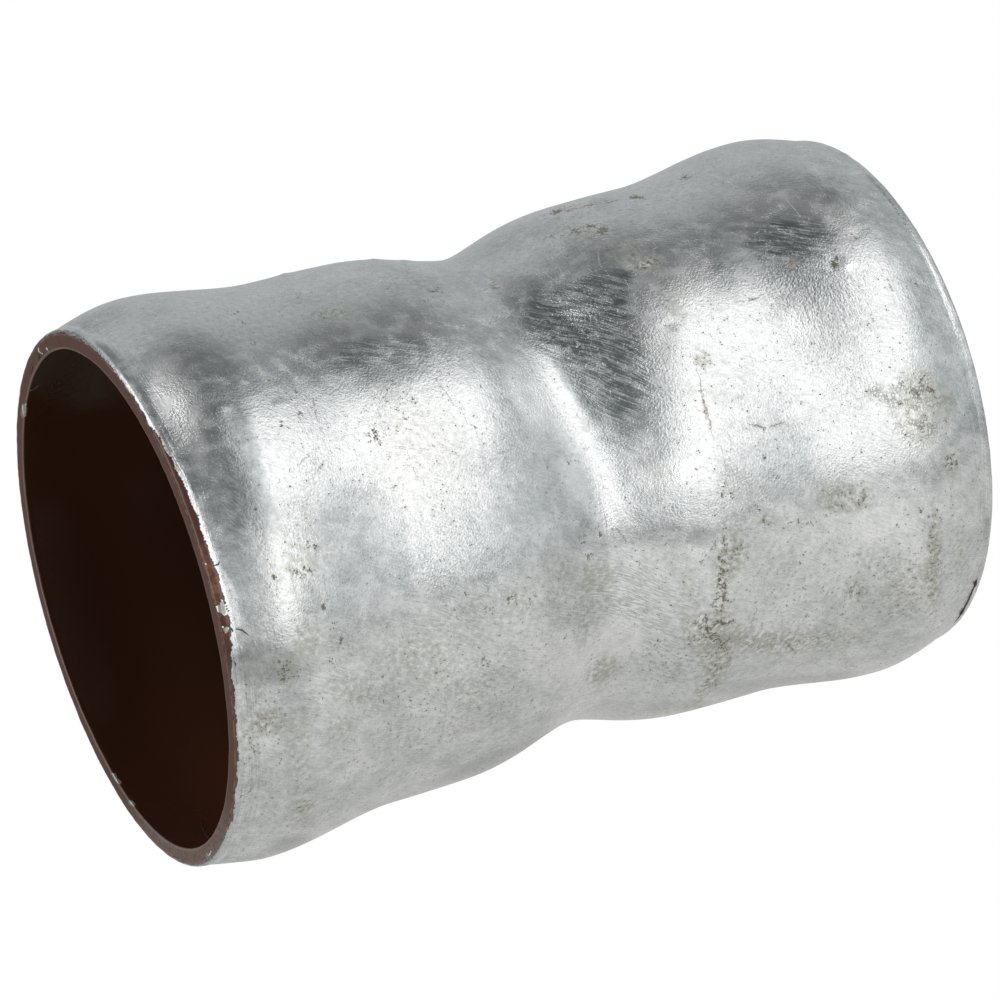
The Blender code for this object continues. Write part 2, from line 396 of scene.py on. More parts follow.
# painted highlights: the zinc is made lighter here in place of reflections of the lights and the room
PAINTED_GLEAM = (
    (526, 396, 14, 36, -28, .9), (841, 217, 18, 12, 35, 1.0), (192, 436, 11, 26, -24, .95), (168, 390, 13, 28, -28, 1.1),
    (667, 474, 30, 14, -10, .6), (573, 482, 10, 24, -28, .5), (212, 545, 7, 40, -16, .3),
    (560, 655, 40, 30, 0, .25), (330, 700, 20, 16, 0, .2), (880, 520, 40, 30, 0, .2), (780, 206, 56, 13, 6, .75),
    (752, 224, 18, 10, 0, .6), (690, 285, 22, 26, 0, .6), (802, 322, 16, 16, 0, .6), (340, 322, 60, 16, 0, .25),
    (926, 428, 24, 30, 0, .6), (922, 571, 18, 30, 0, .45), (621, 638, 24, 22, 0, .5), (378, 599, 26, 16, 0, .5),
    (60, 320, 10, 10, 0, .2), (696, 262, 18, 10, 0, .5),
    (170, 362, 13, 9, 20, .5), (303, 553, 10, 14, 0, .4), (256, 536, 6, 10, -8, .4), (525, 296, 7, 7, 0, .4), (655, 242, 14, 8, -10, .5),
    (604, 517, 9, 14, -20, .55), (332, 345, 14, 10, 0, .4), (610, 425, 10, 8, 0, .3), (846, 265, 7, 6, 0, 1.1),
    (418, 329, 14, 8, 0, .4), (379, 643, 12, 10, 0, .35), (697, 623, 8, 8, 0, .4), (242, 622, 5, 9, -6, .5), (318, 533, 9, 8, 0, .3),
    (563, 591, 10, 10, 0, .3), (681, 236, 12, 8, 0, .4), (524, 304, 7, 7, 0, .3), (623, 329, 9, 9, 0, .55), (631, 364, 9, 9, 0, .45),
    (171, 389, 9, 10, -24, .4), (241, 642, 5, 10, -6, .5), (793, 412, 12, 9, 0, .4), (697, 621, 8, 9, 0, .3), (812, 186, 14, 7, 10, .35),
    (924, 386, 12, 9, 0, .4), (247, 668, 8, 8, 0, .3), (170, 388, 10, 10, -24, .4), (723, 543, 8, 10, 0, .35), (520, 324, 7, 7, 0, .3),
    (344, 606, 10, 8, 0, .3), (171, 364, 10, 7, 20, .4), (700, 564, 9, 12, 0, .35), (389, 514, 10, 8, 0, .3), (699, 624, 8, 8, 0, .3),
)
CALM = ((244, 530, 22, 140, -5, .75), (215, 330, 130, 38, -8, .75), (400, 320, 80, 30, 0, .5), (700, 190, 90, 26, -14, .6), (520, 270, 40, 30, 0, .5), (560, 470, 26, 60, 0, .4))
BLISTER = ((920, 408, 28, 37, 0, .8), (880, 393, 14, 10, 0, .5), (718, 632, 17, 22, 0, .5), (690, 632, 12, 20, 0, .4),
           (934, 560, 8, 44, 0, .45), (740, 480, 30, 14, 30, .35), (845, 498, 30, 14, 0, .4))
TAN = ((331, 315, 20, 6, 0, .5), (434, 290, 9, 4, 0, .5), (646, 262, 19, 10, 10, .28), (702, 360, 6, 8, 0, .3),
       (705, 404, 6, 22, -8, .5), (791, 261, 7, 6, 0, .7), (420, 470, 60, 50, 30, .22), (300, 560, 40, 60, 0, .25),
       (430, 430, 40, 40, 0, .2))
# strokes: points, strength; a negative one is bright bare metal. The bright ones along the far lip's edge are painted
# highlight, and the pair beside the dent near (838, 262) are its painted shade and painted highlight.
STROKES = (
    (((702, 562), (711, 549), (718, 538)), .8), (((614, 525), (619, 532), (626, 541)), .7),
    (((554, 593), (560, 620), (559, 646), (551, 660), (537, 681)), .35),
    (((588, 601), (587, 616), (587, 632)), .7), (((574, 621), (575, 636), (573, 652)), .4),
    (((716, 627), (724, 624), (732, 621)), 1.0), (((752, 623), (753, 618), (755, 613)), .9),
    (((786, 642), (789, 646), (792, 648)), .8), (((841, 654), (849, 661), (857, 673)), .5),
    (((694, 707), (740, 704), (780, 698), (820, 690)), .6), (((541, 270), (547, 275)), .9),
    (((549, 215), (562, 212), (576, 208)), .9), (((582, 207), (598, 204), (616, 201)), .8), (((628, 198.5), (636, 196.5), (645, 198)), 1.3),
    (((552, 209), (566, 206)), .7), (((568, 227), (574, 231), (580, 230)), .9), (((588, 225), (595, 227)), .8),
    (((600, 234), (607, 231), (611, 227)), .9), (((548, 238), (556, 240)), .6), (((478, 292), (488, 289), (498, 288)), .8),
    (((430, 291), (441, 290)), .7), (((556, 250), (566, 254)), .7), (((598, 253), (599, 262)), -.8), (((439, 385), (445, 391), (451, 399)), .5),
    (((700, 384), (704, 404), (711, 425)), .6), (((749, 424), (766, 428), (782, 423)), .8),
    (((341, 636), (342, 646)), .9), (((888, 281), (893, 292), (900, 301)), .7),
    (((710, 164), (718, 170), (729, 177)), .7), (((712, 175), (722, 178), (731, 183)), -.7),
    (((576, 336), (577.5, 343), (577, 349)), -1.0), (((590, 336), (591, 342), (592, 350)), -.6),
    (((598, 326), (587, 332), (587, 341)), -.6), (((500, 294), (506, 283)), .7),
    (((630, 343), (650, 346), (662, 354)), .45), (((612, 267), (626, 268), (640, 272), (656, 269)), -.6),
    (((654, 254), (653, 263)), -.7), (((643, 274), (651, 269), (656, 266)), .8),
    (((641, 262), (650, 266), (661, 275)), -.9), (((634, 275), (645, 272), (655, 273)), -.8),
    (((626, 262), (634, 266), (640, 271)), -.7), (((656, 258), (660, 266)), .7), (((549, 296), (566, 299), (584, 304)), .8),
    (((530, 318), (552, 322), (574, 322)), .6), (((540, 352), (565, 362), (590, 372)), .6), (((604, 346), (620, 352), (636, 352)), .7),
    (((516, 252), (522, 249)), .7), (((585, 352), (600, 360), (614, 372)), -.7), (((593, 370), (602, 376), (612, 383)), -.6),
    (((562, 334), (569, 336), (577, 339)), .8), (((590, 282), (604, 285), (620, 289)), .9),
    (((605, 301), (616, 305), (628, 309)), .7), (((365, 283), (378, 279)), .4),
    (((142, 333), (158, 326)), .6), (((297, 466), (302, 462), (305, 459)), .5),
    (((660, 646), (666, 653), (675, 650)), .6), (((606, 520), (607, 530)), .8),
    (((318, 470), (322, 465)), .6), (((293, 386), (297, 397)), .7), (((313, 403), (316, 411)), .7),
    (((298, 410), (300, 416)), .7), (((727, 546), (722, 562), (720, 574), (718, 586)), .5),
    (((733, 658), (712, 674), (700, 698)), .55), (((255, 640), (262, 652), (266, 664)), .3),
    (((444, 541), (456, 556)), .3), (((436, 506), (444, 520)), .25), (((810, 205), (822, 214)), -.5),
    # painted highlight along the far lip's edge
    (((903, 214), (914, 232), (924, 250)), -.4), (((920, 246), (934, 274), (944, 300)), -.6),
    (((940, 292), (948, 312), (957, 336)), -.7),
    (((740, 236), (752, 239), (764, 240)), .9), (((768, 226), (788, 227), (806, 230)), .8),
    (((784, 232), (800, 237), (812, 240)), .9), (((736, 248), (756, 252), (778, 262)), .8),
    (((770, 250), (786, 253), (800, 255)), .7), (((758, 231), (762, 229), (766, 231)), -.9),
    # the dent's painted shade and painted highlight
    (((834, 253), (832, 259), (834, 267)), 1.3), (((840, 256), (839, 262), (843, 268)), -1.2),
    (((786, 298), (790, 292), (806, 286)), .7), (((742, 301), (750, 300), (758, 297)), .6),
    (((533, 318), (545, 322), (552, 323)), .8), (((536, 332), (550, 338), (566, 341)), .8),
    (((547, 345), (566, 354), (584, 358)), .8), (((558, 362), (576, 371), (592, 378)), .8),
    (((570, 384), (590, 394), (606, 398)), .8), (((600, 378), (616, 385), (630, 390)), .7),
    (((560, 306), (590, 310), (622, 316)), .7), (((548, 290), (566, 292), (588, 297)), .7),
    (((610, 325), (624, 332), (640, 334)), .6), (((566, 318), (588, 326), (612, 330)), .7),
    (((556, 345), (572, 352), (590, 363), (604, 372)), -.7), (((538, 327), (552, 330), (566, 338)), -.5),
)
# raised or sunk spots: x, y, radius across in picture units, height in mm
SPOTS = (
    (227, 407, 5, .09), (219, 407, 4, .07), (282, 404, 4, .08), (284, 274, 5, .12), (374, 261, 5, .12),
    (405, 263, 5, .12), (516, 257, 3.5, .07), (557, 293, 4, .08), (487, 314, 3.5, .06), (502, 365, 5, .08),
    (524, 398, 4, .06), (709, 229, 4, .06), (809, 175, 5, .08), (833, 176, 4.5, .07), (764, 231, 4, .07),
    (655, 241, 5, .07), (200, 421, 5, .05), (669, 326, 5.5, -.10), (854, 236, 4.5, -.08), (837, 262, 5.5, -.15), (846, 266, 6, .06), (720, 171, 7, -.10), (916, 283, 4, -.06), (893, 291, 6, -.07), (881, 276, 7, .06),
    (430, 262, 14, .10), (180, 380, 16, -.06),
)

dirt, smear, lift, scratch, blister, tan, calm, dull_and_painted_shade, painted_gleam = (
    sum(ellipse(*m[:5]) * m[5] for m in marks) * 1.0
    for marks in (DIRT, SMEAR, LIFT, SCRATCH, BLISTER, TAN, CALM, DULL_AND_PAINTED_SHADE, PAINTED_GLEAM))
# an outline of scraped zinc over a dark reflection: real scratches, and painted shade, as the scratch colours darken
# the zinc inside it
SCRATCHED_PAINTED_SHADE = ((525, 322), (530, 298), (560, 290), (586, 275), (612, 268), (632, 272), (628, 292), (630, 320), (643, 352),
            (654, 388), (645, 408), (622, 420), (600, 418), (583, 404), (573, 388), (562, 372), (550, 358), (538, 345))
scratch = scratch + patch(SCRATCHED_PAINTED_SHADE, 4.5) * (0.92 + 0.3 * noise3(base, 2.6, 44))
# painted light: positive values are painted shade and dull zinc, negative values are painted highlight
tone_and_painted_light = np.clip(dull_and_painted_shade, 0, 1.1) - np.clip(painted_gleam, 0, 1.1)
line_d = np.full(len(px), 9.0)
line_s = np.zeros(len(px))
nearest = np.full(len(px), 1e9)
for points, s in STROKES:
    sd, dist, ends = from_path(points)
    hit = (dist < nearest) & front
    nearest = np.where(hit, dist, nearest)
    line_d = np.where(hit, np.clip(sd, -9, 9), line_d)
    line_s = np.where(hit, s * smooth(8.0, 5.0, dist), line_s)

# the side away from the camera carries the same kinds of marks, in places of its own
rng = np.random.default_rng(23)
away = outer & (facing <= 0.05)
for k in range(150):
    t, z = math.radians(rng.uniform(-15, 195)), rng.uniform(3, 97)
    r = float(outer_radius(z))
    c = np.array([r * math.cos(t), r * math.sin(t), z])
    long_, wide, tilt = rng.uniform(.4, 1.0) * rng.choice([1, 1, 2, 5]), rng.uniform(.35, .9), rng.uniform(0, math.pi)
    tang = np.array([-math.sin(t), math.cos(t), 0.0])
    e1 = tang * math.cos(tilt) + np.array([0, 0, 1.0]) * math.sin(tilt)
    v = co - c
    u = v @ e1
    w = np.sqrt(np.maximum((v ** 2).sum(1) - u ** 2, 0))
    blot = smooth(1.5, .55, np.hypot(u / long_, w / wide)) * away
    kind_k = k % 5
    if kind_k in (0, 1, 2):
        dirt = dirt + blot * rng.uniform(.4, .95)
    elif kind_k == 3:
        blot = smooth(1.5, .4, np.hypot(u / (3.5 * long_), w / (3 * wide))) * away
        smear = smear + blot * rng.uniform(.4, .8)
        dirt = dirt + blot * rng.uniform(.0, .35)
    else:
        blot = smooth(1.5, .4, np.hypot(u / (4 * long_), w / (4 * wide))) * away
        lift = lift + blot * rng.uniform(.3, .8)
for t, z, r in ((60, 30, 4.2), (118, 71, 3.6), (20, 82, 3.2)):
    c = np.array([33 * math.cos(math.radians(t)), 33 * math.sin(math.radians(t)), z])
    blister = blister + smooth(1.3, .6, np.linalg.norm(co - c, axis=1) / r) * away
for t, z, a in ((100, 52, 14), (40, 60, 11), (150, 26, 12), (75, 12, 9)):
    c = np.array([32 * math.cos(math.radians(t)), 32 * math.sin(math.radians(t)), z])
    scratch = scratch + 0.55 * smooth(1.3, .5, np.linalg.norm(co - c, axis=1) / a) * away

# ------------------------------------------------------------ the coat's edge
# coat is the distance in mm inside the coat's edge: it ends on the lip's outer corner, and runs
# over it where the paint was slopped.
corner_top = along[np.argmax((kind == 1) & (zz > 90))]
corner_low = along[np.max(np.where((kind == 1) & (zz < 10))[0])]
from_top = along - corner_top                    # mm past the last outer ring, into the rim
start_low = along.max() - along                  # mm before the first outer ring
FLAT = 0.5 * math.pi * ROUND_OUT * 5 / 6        # mm from the first ring of the rounding to the flat rim
over_top = np.interp(theta, (0, 145, 170, 195, 212, 236, 246, 251, 256, 262, 267, 272, 280, 290, 300, 310, 330, 360),
                     (.25, .25, .05, .12, .35, .48, .45, .75, 1.2, 1.62, 1.45, 1.2, 1.15, 1.02, .55, .28, .2, .25)) \
    + 0.30 * noise3(base, 2.4, 5) + 0.22 * noise3(base, 1.1, 6) + 0.14 * noise3(base, 0.5, 7)
over_low = 0.12 + 0.25 * noise3(base, 5.0, 12) + 0.2 * noise3(base, 1.3, 13)
dist_top = from_top - (FLAT - over_top)
dist_low = np.where(kind == 1, start_low - FLAT, -FLAT - (zz - ROUND_OUT)) + over_low
rim_top, rim_low = (kind == 1) & (zz > 90), (kind == 1) & (zz < 10)
coat = np.where((kind == 2), 3.0, np.where(zz > 50, dist_top, dist_low))
slop = np.where(zz > 50, FLAT - from_top, np.where(kind == 1, FLAT - start_low, FLAT + zz))   # mm outward of the flat rim
slop = np.clip(np.where(kind == 2, -3.0, slop), -3.0, 6.0)
spilt = np.interp(theta, (228, 249, 258, 272, 278, 300, 312), (0, 0, 1, 1, .6, .6, 0)) * (zz > 90)
coat = np.clip(coat, -3.0, 3.0)
# chips that lay the zinc bare on the rim's face and its inner edge
CHIPS = ((24, 411, 3.0, 7, 8), (222, 608, 4.2, 8, -14), (208, 854, 3.5, 3.5, 0),
         (132, 802, 4, 2.4, 50), (116, 778, 2.2, 8, -38), (226, 630, 2.5, 4, 20))
chipped = np.zeros(len(px))
for x, y, a, b, tilt in CHIPS:
    c, s = math.cos(math.radians(tilt)), math.sin(math.radians(tilt))
    u, v = (px - x) * c + (py - y) * s, -(px - x) * s + (py - y) * c
    hit = 1.0 - np.hypot(u / a, v / b)
    use = (rim_top | (outer & (zz > 97)) | ((kind == 2) & (zz > 98.6))) & (facing > -0.2)
    coat = np.where(use, np.minimum(coat, -0.45 * hit + 0.35 * noise3(base, 0.6, 17)), coat)
    chipped = np.maximum(chipped, smooth(-0.2, 0.3, hit) * use)

# painted highlight: the lip's bare rounding beside the coat is painted near white, standing in for the bright line of
# light along it
lip_highlight_width = np.interp(theta, (0, 200, 252, 256, 259, 266, 270, 278, 284, 292, 305, 318, 330, 345, 360),
                   (.1, 0, 0, .5, 1.4, 1.2, .9, .7, .65, .28, .18, .14, .1, .1, .1))
painted_lip_highlight = smooth(lip_highlight_width + 0.16, lip_highlight_width - 0.14, -coat + 0.35 * noise3(base, 0.9, 41)) * (coat < 0.4) * (zz > 90) * (kind < 2)
painted_lip_highlight = painted_lip_highlight * np.interp(theta, (0, 190, 250, 257, 262, 268, 274, 280, 290, 300, 315, 330, 345, 360),
                          (.2, 0, 0, .6, .8, .8, .6, .35, .4, .7, .6, .3, .2, .2))

painted_lip_highlight = painted_lip_highlight * (1 - chipped)
tone_and_painted_light = tone_and_painted_light + (0.5 - tone_and_painted_light) * chipped
smear = smear + 0.9 * chipped

# painted sheen: the coat inside the mouth is painted paler where the glossy coat shows a reflection
dust_and_painted_sheen = np.hypot((px - 80) / 62, (py - 366) / 40)
dust_and_painted_sheen = smooth(1.15, 0.75, dust_and_painted_sheen) * (kind == 2) * (zz > 70) * (np.abs(turn(theta, 25)) < 75)
# and the rim is dusty where it was knocked
dust_and_painted_sheen = dust_and_painted_sheen + (kind == 1) * (zz > 90) * smooth(42, 22, np.abs(turn(theta, 178)))

# ------------------------------------------------------------------ the shape
fade = smooth(0.0, 3.0, np.minimum(zz, LENGTH - zz))
wave = 0.10 * noise3(base, 17.0, 1) + (0.05 * noise3(base, 7.5, 2) + 0.022 * noise3(base, 3.6, 3)) * (1 - .7 * np.clip(calm, 0, 1))
height = wave * fade * outer
for x, y, r, h in SPOTS:
    height = height + h * np.exp(-((px - x) ** 2 + (py - y) ** 2) / (0.9 * r * r)) * front
height = height + 0.05 * blister * noise3(base, 1.5, 8) - 0.03 * np.clip(dirt, 0, 1) * outer
lip = (kind == 1) | (np.minimum(zz, LENGTH - zz) < 3.0)
height = height + lip * (kind < 2) * (0.05 * noise3(base, 1.6, 15) + 0.03 * noise3(base, 0.7, 16))
height = height + 0.05 * smooth(-0.1, 0.15, coat) * (kind == 0)
pos = base + nr * height[:, None]

cloud = 0.55 * noise3(base, 9.0, 20) + 0.35 * noise3(base, 4.3, 21) + 0.2 * noise3(base, 2.4, 22)
mottle = 0.6 * noise3(base, 1.9, 23) + 0.4 * noise3(base, 1.1, 24)

mesh = bpy.data.meshes.new("coupling_visual")
mesh.from_pydata([tuple(v) for v in pos * MM], [], faces)
mesh.validate()
mesh.shade_smooth()
under = smooth(64, 34, np.abs(turn(theta, 205)))
for name, values in (("under", under), ("coat", coat), ("slop", slop), ("spilt", spilt), ("calm", calm), ("dust_and_painted_sheen", dust_and_painted_sheen), ("dirt", dirt), ("smear", smear), ("lift", lift),
                     ("scratch", scratch), ("blister", blister), ("tan", tan), ("tone_and_painted_light", tone_and_painted_light), ("painted_lip_highlight", painted_lip_highlight), ("line_d", line_d), ("line_s", line_s),
                     ("cloud", cloud), ("mottle", mottle)):
    layer = mesh.attributes.new(name, "FLOAT", "POINT")
    layer.data.foreach_set("value", np.ascontiguousarray(values, dtype=np.float32))

# the surface unrolled, in mm: round the tube from the back, and along the section. Slow bends in it
# keep strokes from running dead straight.
corners = np.empty(len(mesh.loops), dtype=np.int32)
mesh.loops.foreach_get("vertex_index", corners)
sizes = np.empty(len(mesh.polygons), dtype=np.int32)
mesh.polygons.foreach_get("loop_total", sizes)
owner = np.repeat(np.arange(len(sizes)), sizes)
round_ = np.radians(turn(theta, 270.0))[corners]
first = np.concatenate([[0], np.cumsum(sizes)[:-1]])
lead = round_[first][owner]
round_ = round_ + np.where(round_ - lead > math.pi, -2 * math.pi, np.where(round_ - lead < -math.pi, 2 * math.pi, 0.0))
run = along[corners]
lead = run[first][owner]
run = np.where(lead - run > 100.0, run + along.max() + 0.2, run)
run = np.where(run - lead > 100.0, run - along.max() - 0.2, run)
bend = np.stack([1.0 * noise3(base, 8.0, 30) + 0.15 * noise3(base, 2.5, 31),
                 1.0 * noise3(base, 8.0, 32) + 0.15 * noise3(base, 2.5, 33)], 1)[corners]
flat = mesh.uv_layers.new(name="unrolled")
flat.data.foreach_set("uv", np.ascontiguousarray(
    np.stack([32.5 * round_, run], 1) + bend, dtype=np.float32).ravel())
# the same surface with each scraped stretch turned so that its strokes lie along the first axis
place = corners[first]
lie = np.radians(np.select([(facing[place] <= 0.02), zz[place] > 84, zz[place] > 58, zz[place] > 30], [42.0, 40.0, 62.0, 42.0], 57.0))[owner]
u_, v_ = 32.5 * round_ + bend[:, 0], run + bend[:, 1]
short = np.where(zz[place] > 84, 2.2, 0.72)[owner]
turned = mesh.uv_layers.new(name="strokes")
turned.data.foreach_set("uv", np.ascontiguousarray(
    np.stack([(u_ * np.cos(lie) + v_ * np.sin(lie)) * short, v_ * np.cos(lie) - u_ * np.sin(lie)], 1), dtype=np.float32).ravel())
assert sum(len(f) - 2 for f in faces) < 200_000
body = bpy.data.objects.new("coupling_visual", mesh)
bpy.context.scene.collection.objects.link(body)


# ------------------------------------------------------------ node arithmetic
class Nodes:
    """A node tree with a few short calls, so that a pattern reads as arithmetic."""

    def __init__(self, tree):
        self.t = tree
        self.t.nodes.clear()

    def add(self, kind, **values):
        n = self.t.nodes.new(kind)
        for k, v in values.items():
            setattr(n, k, v)
        return n

    def put(self, socket, value):
        if isinstance(value, bpy.types.NodeSocket):
            self.t.links.new(value, socket)
        elif value is not None:
            socket.default_value = value

    def m(self, op, a, b=None, c=None, clamp=False):
        n = self.add("ShaderNodeMath", operation=op, use_clamp=clamp)
        for i, v in enumerate((a, b, c)):
            self.put(n.inputs[i], v)
        return n.outputs[0]

    def mul(self, *a):
        out = a[0]
        for b in a[1:]:
            out = self.m("MULTIPLY", out, b)
        return out

    def sum(self, *a):
        out = a[0]
        for b in a[1:]:
            out = self.m("ADD", out, b)
        return out

    def v(self, op, a, b=None, scale=None):
        n = self.add("ShaderNodeVectorMath", operation=op)
        self.put(n.inputs[0], a)
        self.put(n.inputs[1], b)
        if scale is not None:
            self.put(n.inputs["Scale"], scale)
        return n.outputs["Value"] if op in ("DOT_PRODUCT", "LENGTH", "DISTANCE") else n.outputs[0]

    def step(self, a, b, x):
        """0 below a, 1 above b, smooth between; a may be above b."""
        n = self.add("ShaderNodeMapRange", interpolation_type="SMOOTHSTEP")
        self.put(n.inputs["Value"], x)
        flip = not isinstance(a, bpy.types.NodeSocket) and not isinstance(b, bpy.types.NodeSocket) and a > b
        lo, hi, t0, t1 = (b, a, 1.0, 0.0) if flip else (a, b, 0.0, 1.0)
        self.put(n.inputs["From Min"], lo)
        self.put(n.inputs["From Max"], hi)
        self.put(n.inputs["To Min"], t0)
        self.put(n.inputs["To Max"], t1)
        return n.outputs["Result"]

    def mix(self, fac, a, b):
        n = self.add("ShaderNodeMix", data_type="RGBA")
        self.put(n.inputs["Factor"], fac)
        self.put(n.inputs["A"], a)
        self.put(n.inputs["B"], b)
        return n.outputs["Result"]

    def lerp(self, fac, a, b):
        n = self.add("ShaderNodeMix", data_type="FLOAT")
        self.put(n.inputs["Factor"], fac)
        self.put(n.inputs["A"], a)
        self.put(n.inputs["B"], b)
        return n.outputs["Result"]

    def noise(self, vec, cell, detail=1.0, rough=0.5):
        n = self.add("ShaderNodeTexNoise", noise_dimensions="2D")
        self.put(n.inputs["Vector"], vec)
        self.put(n.inputs["Scale"], 1.0 / cell)
        self.put(n.inputs["Detail"], detail)
        self.put(n.inputs["Roughness"], rough)
        return n.outputs[0]

    def combine(self, x, y):
        n = self.add("ShaderNodeCombineXYZ")
        self.put(n.inputs[0], x)
        self.put(n.inputs[1], y)
        return n.outputs[0]

    def attr(self, name):
        return self.add("ShaderNodeAttribute", attribute_type="GEOMETRY",
                        attribute_name=name).outputs["Fac"]

    def stretched(self, p, angle, long_, wide):
        """p turned by an angle and measured in cells along it and across it, so that a noise lies in strokes."""
        n = self.add("ShaderNodeMapping", vector_type="POINT")
        self.put(n.inputs["Vector"], p)
        n.inputs["Rotation"].default_value = (0, 0, math.radians(angle))
        turned = n.outputs[0]
        return self.v("MULTIPLY", turned, (1.0 / long_, 1.0 / wide, 0.0))


def rgb(r, g, b):
    """Display colour 0-255 to scene-linear."""
    def lin(c):
        c /= 255.0
        return c / 12.92 if c <= 0.04045 else ((c + 0.055) / 1.055) ** 2.4
    return (lin(r), lin(g), lin(b), 1.0)


def principled(name):
    mat = bpy.data.materials.new(name)
    mat.use_nodes = True
    n = Nodes(mat.node_tree)
    out = n.add("ShaderNodeOutputMaterial")
    bsdf = n.add("ShaderNodeBsdfPrincipled")
    n.t.links.new(bsdf.outputs[0], out.inputs["Surface"])
    return mat, n, bsdf


# ---------------------------------------------------------- the surface itself
metal, n, b = principled("zinc_and_coat")
p = n.add("ShaderNodeUVMap", uv_map="unrolled").outputs[0]                     # mm
q = n.add("ShaderNodeUVMap", uv_map="strokes").outputs[0]                      # mm

a_coat, a_slop, a_spilt, a_calm, a_dust_and_sheen, a_dirt, a_smear, a_lift, a_scr, a_bli, a_tan, a_painted_light, a_lip_highlight, a_ld, a_ls, cloud, mottle = (
    n.attr(x) for x in ("coat", "slop", "spilt", "calm", "dust_and_painted_sheen", "dirt", "smear", "lift", "scratch", "blister", "tan", "tone_and_painted_light", "painted_lip_highlight", "line_d", "line_s",
                        "cloud", "mottle"))

brush = n.noise(n.stretched(p, -60, 1.5, 0.20), 1.0, 1.0, 0.6)
lathe = n.noise(n.stretched(p, 0, 5.0, 0.15), 1.0, 0.0)
hatch = n.noise(n.v("MULTIPLY", q, (1 / 2.0, 1 / 0.17, 0)), 1.0, 1.0, 0.6)
sweep = n.noise(n.v("MULTIPLY", q, (1 / 2.4, 1 / 0.75, 0)), 1.0, 0.0)
crumb = n.noise(p, 0.29, 1.0, 0.6)
fleck = n.noise(p, 0.70, 2.5, 0.62)
grain = n.noise(p, 0.26, 0.0)
# thin broken scratches: where a stretched noise passes its middle
cut = n.mul(n.step(0.030, 0.0, n.m("ABSOLUTE", n.m("SUBTRACT", brush, 0.5))), n.step(-0.05, 0.20, mottle))
# the bare stretches that were scraped bright: long strokes, light ones thin and dark ones broad
scr = n.m("MINIMUM", a_scr, 1.2)
score = n.step(0.38, 0.68, n.sum(hatch, n.mul(n.m("SUBTRACT", fleck, 0.5), 0.32), n.mul(n.m("SUBTRACT", sweep, 0.5), 0.55)))
# fine rings left by the forming, along both lips
rings = n.mul(n.step(5.2, 2.2, a_slop), n.step(-0.1, 0.4, a_slop))

# specks: small dark pits, sparse anywhere and dense where dirt lies
low = n.m("SUBTRACT", n.m("SUBTRACT", 0.668, n.mul(n.attr("under"), 0.020)), n.mul(a_dirt, 0.20))
speck = n.step(low, n.m("ADD", low, 0.055), n.sum(n.mul(fleck, 0.5), n.mul(crumb, 0.5), n.mul(mottle, 0.13)))
# hair-fine crooked lines where the zinc is stained
crackle = n.mul(n.step(0.022, 0.004, n.m("ABSOLUTE", n.m("SUBTRACT", fleck, 0.5))),
                n.m("MINIMUM", n.sum(n.mul(a_dirt, 0.7), n.mul(a_tan, 0.5), n.mul(a_bli, 0.5), n.mul(a_smear, 0.3)), 1.0),
                n.step(0.42, 0.56, crumb))
film = n.mul(a_dirt, n.step(0.40, 0.62, fleck))

# listed strokes, broken by the grain
near_line = n.mul(n.step(1.15, 0.30, n.m("ABSOLUTE", n.sum(a_ld, n.mul(n.m("SUBTRACT", grain, 0.5), 2.4)))),
                  n.step(0.36, 0.50, fleck))
strong = n.mul(a_ls, n.m("ABSOLUTE", a_ls))
dark_line = n.mul(near_line, n.m("MAXIMUM", strong, 0.0))
light_line = n.mul(near_line, n.m("MAXIMUM", n.m("MULTIPLY", strong, -1.0), 0.0))

# blisters: rings with a clean middle
vor = n.add("ShaderNodeTexVoronoi", voronoi_dimensions="2D", feature="F1")
n.put(vor.inputs["Vector"], n.v("ADD", p, n.v("MULTIPLY", n.combine(fleck, grain), (0.45, 0.45, 0.0))))
n.put(vor.inputs["Scale"], 1.0 / 0.62)
cell = vor.outputs["Distance"]
bubbly = n.m("MINIMUM", n.mul(a_bli, 1.3), 1.0)
ring = n.mul(n.step(0.18, 0.36, cell), n.step(0.60, 0.44, cell), bubbly, n.step(-0.25, 0.25, mottle))

coat_edge = n.sum(a_coat, n.mul(n.m("SUBTRACT", fleck, 0.5), 0.40), n.mul(n.m("SUBTRACT", grain, 0.5), 0.20))
coated = n.step(-0.03, 0.03, coat_edge)

# colour
blot = n.step(-0.045, 0.045, n.sum(n.mul(cloud, 0.45), n.mul(mottle, 0.5), n.mul(n.m("SUBTRACT", fleck, 0.5), 0.5)))
keen = n.m("MULTIPLY_ADD", n.m("MINIMUM", a_calm, 1.0), -0.65, 1.0)
tone = n.sum(n.mul(cloud, keen, 0.60), n.mul(mottle, keen, 0.52), n.mul(n.m("SUBTRACT", blot, 0.5), keen, 0.05), n.mul(n.m("SUBTRACT", brush, 0.5), 0.48),
             n.mul(n.m("SUBTRACT", fleck, 0.5), -0.75), n.mul(n.m("SUBTRACT", grain, 0.5), 0.30),
             n.mul(n.m("SUBTRACT", lathe, 0.5), n.mul(rings, 0.55)), 0.5)
zinc = n.mix(n.m("MINIMUM", n.m("MAXIMUM", tone, 0.0), 1.0), (0.385, 0.405, 0.405, 1), (0.765, 0.78, 0.78, 1))
zinc = n.mix(n.mul(cut, 0.32), zinc, (0.94, 0.95, 0.95, 1))
# inside the scratched outline these colours also darken the zinc as painted shade
zinc = n.mix(n.mul(n.m("MINIMUM", scr, 1.0), 0.8), zinc, n.mix(score, (0.20, 0.23, 0.24, 1), (0.78, 0.81, 0.82, 1)))
